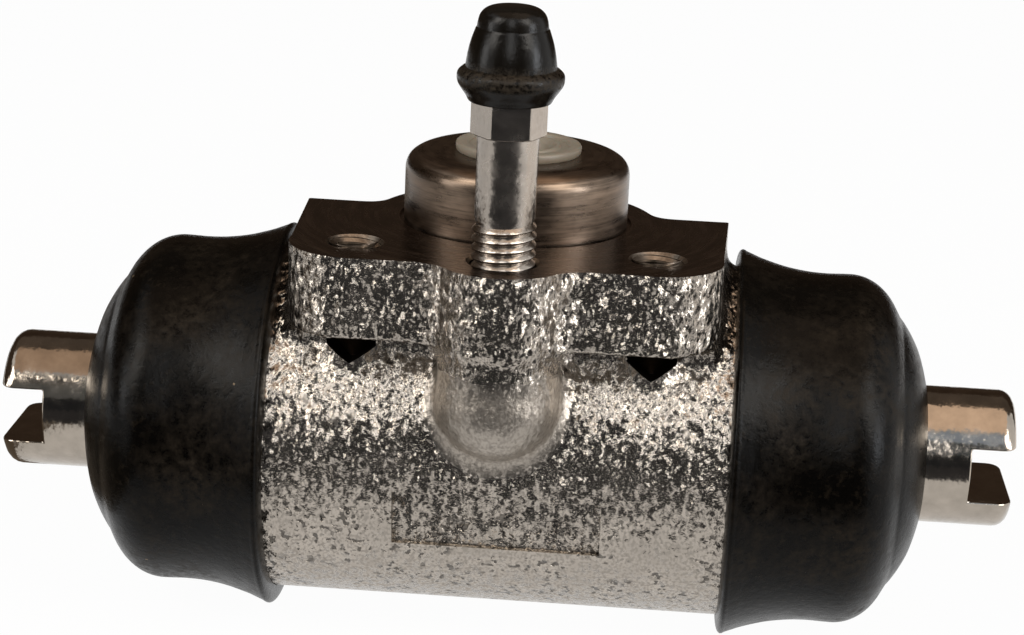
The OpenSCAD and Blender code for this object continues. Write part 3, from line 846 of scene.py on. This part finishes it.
        rounding = [(2.1, 0), (1.5, 0.12), (0.9, 0.45), (0.45, 1.0), (0.15, 1.7), (0.02, 2.5), (0, 3.3)]
        shoulder = flowing([(spigot_h - down, spigot_r - inward) for down, inward in rounding], 4)
        chamfer = self.chamfer / MM
        spigot = turned("spigot", [
            (relief_z, port), (relief_z, spigot_r), *shoulder,
            (spigot_h, port + chamfer), (spigot_h - chamfer, port),
        ], Z_AXIS, Vector((0, 0, 0)), 160)
        paint(spigot, spigot_skin)
        shade(spigot, 30)
        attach(spigot, "cylinder")

        for side, name in ((-1, "left_hole_thread"), (1, "right_hole_thread")):
            x, y = side * sizes.hole_spacing / 2, -sizes.hole_setback
            self.lining(name, x, y, 2.4, 2.78, -8.5, 8, sizes.pitch, bored)
        self.lining("inlet_thread", 0, 0, 4.5, 4.93, -3.4, 10, sizes.pitch, bored)
        return {"FINISHED"}


class WHEELCYL_OT_boots(bpy.types.Operator):
    """Moulds the two rubber boots, which stretch between the barrel and the pistons"""
    bl_idname = "wheelcyl.boots"
    bl_label = "Rubber Boots"

    def execute(self, context):
        sizes, colours = context.scene.wheel_sizes, context.scene.wheel_colours
        rubber = boot_rubber(colours)
        lip = flowing([(25.1, 19.85), (25.2, 20.9), (25.4, 21.6), (25.7, 21.9), (26.0, 21.85)], 4)
        outer = flowing([
            (26.2, 21.72), (27.0, 21.4), (28.2, 20.95), (30.7, 20.25), (33.2, 19.85), (35.4, 19.74),
            (37.4, 19.80), (38.7, 19.78), (39.9, 19.5), (41.0, 18.95), (42.0, 18.15), (42.8, 17.2),
            (43.4, 16.2), (43.85, 15.4), (44.4, 14.7), (45.2, 13.5), (46.0, 12.0), (46.55, 10.5),
            (46.9, 9.3), (47.15, 8.3), (47.2, 7.66),
        ], 5)
        inner = [(46.3, 7.66), (46.1, 6.86), (44.1, 6.86), (43.9, 8.6), (43.3, 13.3)]
        hollow = flowing([
            (42.6, 14.4), (41.6, 15.8), (40.4, 17.0), (38.9, 17.7), (34.5, 17.75), (30.6, 18.6)], 3)
        seat = [(29.6, 18.6), (29.2, 19.85), (27.8, 19.85), (27.6, 18.45), (26.4, 18.45), (26.2, 19.85)]
        outline = lip + outer + inner + hollow + seat
        axis = Vector((0, 0, -sizes.axis_drop))
        for side, name, node, piston in (
            (-1, "boot_left", "left_boot", "left_piston"), (1, "boot_right", "right_boot", "right_piston"),
        ):
            boot = turned(name, outline, side * X_AXIS, axis, 128)
            paint(boot, rubber)
            shade(boot, 50)
            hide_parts(node)
            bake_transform(boot)
        return {"FINISHED"}


class WHEELCYL_OT_pins(bpy.types.Operator):
    """Finishes the slotted thrust pins, with their edges broken"""
    bl_idname = "wheelcyl.pins"
    bl_label = "Thrust Pins"

    def execute(self, context):
        colours = context.scene.wheel_colours
        plating = plated_steel("pin_zinc", colours.pin, 0.0004, 0.12, 0.13)
        for side in ("left", "right"):
            pin = merged_copy(f"{side}_thrust_pin", f"pin_{side}")
            finish_with(
                pin, "BEVEL", width=0.22 * MM, segments=3, limit_method="ANGLE", angle_limit=math.radians(25))
            paint(pin, plating)
            shade(pin, 35)
            finish_with(pin, "WEIGHTED_NORMAL", keep_sharp=True)
            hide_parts(f"{side}_thrust_pin")
            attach(pin, f"{side}_pin")
        return {"FINISHED"}


class WHEELCYL_OT_bleed_screw(bpy.types.Operator):
    """Makes the bleed screw with its wound thread, shank, hexagon and nipple"""
    bl_idname = "wheelcyl.bleed_screw"
    bl_label = "Bleed Screw"

    def execute(self, context):
        sizes, colours = context.scene.wheel_sizes, context.scene.wheel_colours
        plating = plated_steel("screw_zinc", colours.screw, 0.0004, 0.2, 0.24)
        centre = Vector((0, -sizes.bleed_setback, 0))
        screw = turned("screw", [
            (-12.7, 0), (-12.7, 1.2), (-10.1, 3.0), (4.3, 3.0), (4.9, 3.22), (13.8, 3.25), (13.8, 2.6),
            (21.4, 2.6), (22.4, 3.1), (25, 2.6), (25, 1.0), (-9.1, 1.0), (-9.1, 0),
        ], Z_AXIS, centre, 96)
        start_fresh()
        flat_r, middle, height, turn = 3.5 * MM, 15.9 * MM, 4.6 * MM, math.radians(37.5)
        bpy.ops.mesh.primitive_cylinder_add(
            vertices=6, radius=flat_r / math.cos(math.radians(30)), depth=height,
            location=centre + Vector((0, 0, middle)), rotation=(0, 0, turn))
        hexagon = bpy.context.active_object
        bpy.ops.object.transform_apply(location=True, rotation=True, scale=True)
        finish_with(hexagon, "BEVEL", width=0.14 * MM, segments=3, limit_method="ANGLE")
        chamfer = turned("hex_chamfer", [
            (13.5, 0), (13.5, 3.4), (13.95, 4.2), (17.85, 4.2), (18.3, 3.4), (18.3, 0)], Z_AXIS, centre, 64)
        cut(hexagon, chamfer, "INTERSECT")
        drill = turned("hex_drill", [(12, 0), (12, 1.5), (20, 1.5), (20, 0)], Z_AXIS, centre, 32)
        cut(hexagon, drill)
        cut(screw, hexagon, "UNION")
        tooth = [(2.95, 0, -8.5), (3.38, 0, -8.12), (3.43, 0, -8.0), (3.38, 0, -7.88), (2.95, 0, -7.5)]
        thread = wound("thread", tooth, "Z", 13, sizes.pitch, 48, centre)
        top, core, run_out = 4.9 * MM, 2.9 * MM, 1.0 * MM
        for vertex in thread.data.vertices:
            spot = vertex.co - centre
            out = Vector((spot.x, spot.y, 0))
            fade = min(1.0, max(0.0, (spot.z - top + run_out) / run_out))
            shrunk = out.length + (core - out.length) * fade
            vertex.co = centre + out.normalized() * shrunk + Vector((0, 0, spot.z))
        edit(thread)
        face_out()
        pick(screw)
        thread.select_set(True)
        bpy.ops.object.join()
        paint(screw, plating)
        shade(screw, 32)
        finish_with(screw, "WEIGHTED_NORMAL", keep_sharp=True)
        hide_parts("bleed_screw")
        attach(screw, "bleed_screw")
        return {"FINISHED"}


class WHEELCYL_OT_bleed_cap(bpy.types.Operator):
    """Moulds the rubber cap on the bleed screw"""
    bl_idname = "wheelcyl.bleed_cap"
    bl_label = "Bleed Cap"

    def execute(self, context):
        sizes, colours = context.scene.wheel_sizes, context.scene.wheel_colours
        outer = flowing([
            (17.2, 4.12), (17.25, 4.35), (17.8, 4.65), (18.5, 5.15), (19.1, 5.5), (19.7, 5.6), (20.2, 5.5),
            (20.6, 5.1),
        ], 4)
        skirt = flowing([
            (20.75, 4.75), (21.4, 4.68), (22.4, 4.52), (23.4, 4.28), (24.3, 3.98), (24.7, 3.84)], 4)
        crown = flowing([
            (24.85, 3.72), (25.3, 3.66), (25.9, 3.52), (26.4, 3.25), (26.8, 2.78), (27.05, 2.1), (27.15, 1.2),
        ], 4)
        inner = [(27.2, 0), (25.2, 0), (25.2, 3.15), (18.35, 3.15), (18.35, 4.12)]
        cap = turned("cap", outer + skirt + crown + inner, Z_AXIS, Vector((0, -sizes.bleed_setback, 0)), 96)
        paint(cap, cap_rubber(colours))
        shade(cap, 45)
        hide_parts("bleed_cap")
        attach(cap, "bleed_cap")
        return {"FINISHED"}


class WHEELCYL_OT_inlet_plug(bpy.types.Operator):
    """Moulds the stepped transport plug in the inlet port"""
    bl_idname = "wheelcyl.inlet_plug"
    bl_label = "Inlet Plug"

    def execute(self, context):
        colours = context.scene.wheel_colours
        flange = flowing([(7.82, 6.9), (8.1, 7.0), (8.5, 7.0), (8.72, 6.9), (8.8, 6.65)], 3)
        step = flowing([(8.8, 5.9), (8.72, 5.7), (8.42, 5.6)], 3)
        rim = flowing([(8.4, 4.9), (8.5, 4.7), (8.72, 4.55), (8.72, 4.2), (8.5, 3.9), (8.2, 3.6)], 3)
        well = [(1.1, 3.0), (1.0, 2.8), (1.0, 0), (-0.2, 0), (-0.2, 3.85), (0.4, 4.42), (7.8, 4.42)]
        plug = turned("plug", flange + step + rim + well, Z_AXIS, Vector((0, 0, 0)), 96)
        paint(plug, moulded_plastic(colours))
        shade(plug, 50)
        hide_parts("inlet_plug")
        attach(plug, "inlet_plug")
        return {"FINISHED"}


class WHEELCYL_OT_inside(bpy.types.Operator):
    """Winds the return spring in two halves and finishes the pistons, cup seals and spring seats"""
    bl_idname = "wheelcyl.inside"
    bl_label = "Pistons, Seals and Spring"

    def execute(self, context):
        sizes, colours = context.scene.wheel_sizes, context.scene.wheel_colours
        alloy = turned_metal("piston_alloy", colours.alloy, sizes.axis_drop, 0.0003, 0.25)
        steel = turned_metal("seat_steel", colours.seat, sizes.axis_drop, 0.0004, 0.28)
        wire = turned_metal("spring_wire", colours.wire, sizes.axis_drop, 0.0005, 0.3)
        seal = soft_rubber(colours)
        for side in ("left", "right"):
            for part, material in (("piston", alloy), ("cup_seal", seal), ("spring_seat", steel)):
                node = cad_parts[f"{side}_{part}"]
                for slot in node.material_slots:
                    slot.material = material
        axis = Vector((0, 0, -sizes.axis_drop))
        wire_r, coil_r, half = 0.65, 6.85, 8.1
        angles = [math.tau * k / 12 for k in range(13)]
        section = [(wire_r * math.cos(a), 0, coil_r + wire_r * math.sin(a)) for a in angles]
        for side, piston in ((-1, "left_piston"), (1, "right_piston")):
            spring = wound(f"spring_{piston}", section, "X", 2, side * half * MM / 2, 40, axis)
            edit(spring)
            bpy.ops.mesh.select_all(action="DESELECT")
            bpy.ops.mesh.select_mode(type="EDGE")
            bpy.ops.mesh.select_non_manifold()
            bpy.ops.mesh.edge_face_add()
            face_out()
            paint(spring, wire)
            shade(spring, 40)
            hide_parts("return_spring")
            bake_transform(spring)
        return {"FINISHED"}


class WHEELCYL_OT_stage(bpy.types.Operator):
    """Sets the pale floor, the soft light, the reflecting cards and the camera"""
    bl_idname = "wheelcyl.stage"
    bl_label = "Studio Stage"

    def card(self, name, corners, tint):
        """A studio card that only shows in reflections."""
        start_fresh()
        bpy.ops.mesh.primitive_plane_add(size=1)
        card = bpy.context.active_object
        card.name = card.data.name = name
        for vertex, corner in zip(card.data.vertices, corners):
            vertex.co = corner
        material = bpy.data.materials.new(name)
        material.use_nodes = True
        tree = material.node_tree
        tree.nodes.remove(tree.nodes["Principled BSDF"])
        light = add(tree, "ShaderNodeEmission", {"Color": rgba(tint), "Strength": 1.0})
        tree.links.new(light.outputs["Emission"], tree.nodes["Material Output"].inputs["Surface"])
        paint(card, material)
        card.visible_camera = card.visible_diffuse = card.visible_shadow = card.visible_transmission = False

    def lamp(self, name, place, target, size, power, tint):
        """A rectangular soft lamp that faces its target."""
        light = bpy.data.lights.new(name, "AREA")
        light.shape = "RECTANGLE"
        light.size, light.size_y = size
        light.energy = power
        light.color = tint
        lamp = bpy.data.objects.new(name, light)
        lamp.location = place
        lamp.rotation_euler = (Vector(target) - Vector(place)).to_track_quat("-Z", "Y").to_euler()
        bpy.context.scene.collection.objects.link(lamp)

    def floor(self, stage, colours):
        """The pale floor, which keeps a soft shadow."""
        start_fresh()
        bpy.ops.mesh.primitive_plane_add(size=8, location=(0, 0, stage.floor_z))
        bpy.ops.object.transform_apply(location=True, rotation=True, scale=True)
        floor = bpy.context.active_object
        floor.name = floor.data.name = "floor"
        material = bpy.data.materials.new("floor")
        material.use_nodes = True
        tree = material.node_tree
        shader = tree.nodes["Principled BSDF"]
        shader.inputs["Base Color"].default_value = rgba(colours.floor)
        shader.inputs["Roughness"].default_value = 0.9
        white = add(tree, "ShaderNodeEmission", {"Color": (1, 1, 1, 1), "Strength": 1.0})
        share = maths(tree, "MULTIPLY", seen(tree), 0.97)
        both = add(tree, "ShaderNodeMixShader", {0: share, 1: shader.outputs[0], 2: white.outputs[0]})
        tree.links.new(both.outputs[0], tree.nodes["Material Output"].inputs["Surface"])
        paint(floor, material)

    def world(self, scene):
        """A white surround, plain for the light that it gives."""
        world = bpy.data.worlds.new("studio")
        scene.world = world
        world.use_nodes = True
        tree = world.node_tree
        back = tree.nodes["Background"]
        back.inputs["Color"].default_value = (1, 1, 1, 1)
        tree.links.new(ramp(tree, seen(tree), 0.0, 1.0, 0.22, 1.0), back.inputs["Strength"])

    def camera(self, scene, stage):
        """The camera at the photograph's place."""
        turn, rise, roll = stage.camera_turn, stage.camera_rise, stage.camera_roll
        back = Vector((math.sin(turn) * math.cos(rise), -math.cos(turn) * math.cos(rise), math.sin(rise)))
        right = (-back).cross(Z_AXIS).normalized()
        level, upright = right, right.cross(-back)
        right = math.cos(roll) * level + math.sin(roll) * upright
        up = -math.sin(roll) * level + math.cos(roll) * upright
        eye = Vector(stage.target) + stage.camera_reach * back
        lens = bpy.data.cameras.new("camera")
        lens.sensor_fit = "HORIZONTAL"
        lens.sensor_width = 36
        lens.lens = stage.lens
        lens.clip_start = 0.01
        camera = bpy.data.objects.new("camera", lens)
        camera.matrix_world = Matrix.Translation(eye) @ Matrix((right, up, back)).transposed().to_4x4()
        scene.collection.objects.link(camera)
        scene.camera = camera

    def execute(self, context):
        scene, stage, colours = context.scene, context.scene.wheel_stage, context.scene.wheel_colours
        scene.view_settings.view_transform = "Standard"
        self.floor(stage, colours)
        low = stage.floor_z + 0.1 * MM
        front, high, back = -0.45, 0.75, 0.5
        self.card("card_table", [
            (-0.40, front, low), (0.40, front, low), (-0.09, -0.052, low), (0.09, -0.052, low),
        ], (0.05, 0.05, 0.053))
        for name, left, right, base, top, tint in (
            ("card_front_low", -0.40, 0.40, low, 0.12, (0.03, 0.032, 0.036)),
            ("card_side_left", -0.45, -0.08, 0.12, 0.34, (0.13, 0.14, 0.145)),
            ("card_far_left", -0.45, -0.14, 0.34, 0.62, (0.1, 0.1, 0.1)),
            ("card_high_left", -0.14, -0.08, 0.34, 0.62, (2.0, 2.0, 2.0)),
            ("card_high_mid", -0.08, 0.06, 0.12, 0.62, (3.6, 3.6, 3.6)),
            ("card_high_right", 0.06, 0.08, 0.12, 0.62, (4.0, 4.0, 4.0)),
            ("card_side_right", 0.08, 0.45, 0.12, 0.34, (0.10, 0.12, 0.14)),
            ("card_far_right", 0.08, 0.45, 0.34, 0.62, (0.42, 0.52, 0.66)),
            ("card_high", -0.45, 0.45, 0.62, high, (0.6, 0.62, 0.64)),
        ):
            self.card(name, [(x, front, z) for z in (base, top) for x in (left, right)], tint)
        for name, left, right, near, z, tint in (
            ("card_floor_right", 0.12, 0.42, -0.06, low, (1.3, 1.24, 1.18)),
            ("card_floor_left", -0.165, -0.06, -0.06, low, (0.15, 0.12, 0.09)),
            ("card_top_left", -0.5, 0.0, front, high, (0.66, 0.48, 0.35)),
            ("card_top_right", 0.0, 0.5, front, high, (1.3, 0.98, 0.74)),
        ):
            self.card(name, [(x, y, z) for y in (near, back / 2) for x in (left, right)], tint)
        for name, x, near, far, base, top, tint in (
            ("card_strip_right", 0.5, -0.26, -0.12, 0.02, 0.2, (11.0, 11.4, 12.0)),
            ("card_strip_left", -0.5, -0.24, -0.12, 0.02, 0.2, (7.0, 7.0, 7.0)),
            ("card_left", -0.55, -0.25, back, low, 0.45, (0.07, 0.05, 0.035)),
        ):
            self.card(name, [(x, y, z) for z in (base, top) for y in (near, far)], tint)
        for name, near, far, base, top, tint in (
            ("card_back_low", back, back, low, 0.35, (0.05, 0.033, 0.022)),
            ("card_back_high", back, back / 2, 0.35, high, (0.12, 0.095, 0.075)),
        ):
            self.card(name, [(x, y, z) for y, z in ((near, base), (far, top)) for x in (-0.7, 0.7)], tint)
        for name, side, power in (("left_lamp", -1, 2.4), ("right_lamp", 1, 2.6)):
            place, target = (side * 0.42, -0.36, 0.38), (0, -0.02, -0.02)
            self.lamp(name, place, target, (0.35, 0.35), power, (1.0, 0.95, 0.88))
        self.world(scene)
        self.camera(scene, stage)
        return {"FINISHED"}


class WHEELCYL_PT_sidebar(bpy.types.Panel):
    """The wheel cylinder's pieces, sizes and colours"""
    bl_idname = "WHEELCYL_PT_sidebar"
    bl_label = "Wheel Cylinder"
    bl_space_type = "VIEW_3D"
    bl_region_type = "UI"
    bl_category = "Wheel Cylinder"

    def draw(self, context):
        for operator in OPERATORS:
            self.layout.operator(operator.bl_idname)
        for group in (context.scene.wheel_sizes, context.scene.wheel_colours, context.scene.wheel_stage):
            box = self.layout.box()
            for name in group.bl_rna.properties.keys():
                if name not in ("rna_type", "name"):
                    box.prop(group, name)


GROUPS = {
    "wheel_sizes": WheelCylinderSizes,
    "wheel_colours": WheelCylinderColours,
    "wheel_stage": WheelCylinderStage,
}
OPERATORS = (
    WHEELCYL_OT_effects, WHEELCYL_OT_body, WHEELCYL_OT_boots, WHEELCYL_OT_pins, WHEELCYL_OT_bleed_screw,
    WHEELCYL_OT_bleed_cap, WHEELCYL_OT_inlet_plug, WHEELCYL_OT_inside, WHEELCYL_OT_stage,
)


def register():
    for kind in (*GROUPS.values(), *OPERATORS, WHEELCYL_PT_sidebar):
        bpy.utils.register_class(kind)
    for name, group in GROUPS.items():
        setattr(bpy.types.Scene, name, PointerProperty(type=group))


def unregister():
    for name in GROUPS:
        delattr(bpy.types.Scene, name)
    for kind in (WHEELCYL_PT_sidebar, *reversed(OPERATORS), *reversed(GROUPS.values())):
        bpy.utils.unregister_class(kind)


def main():
    register()
    bpy.ops.wheelcyl.effects()
    bpy.ops.wheelcyl.body()
    bpy.ops.wheelcyl.boots()
    bpy.ops.wheelcyl.pins()
    bpy.ops.wheelcyl.bleed_screw()
    bpy.ops.wheelcyl.bleed_cap()
    bpy.ops.wheelcyl.inlet_plug()
    bpy.ops.wheelcyl.inside()
    bpy.ops.wheelcyl.stage()


if __name__ == "__main__":
    main()
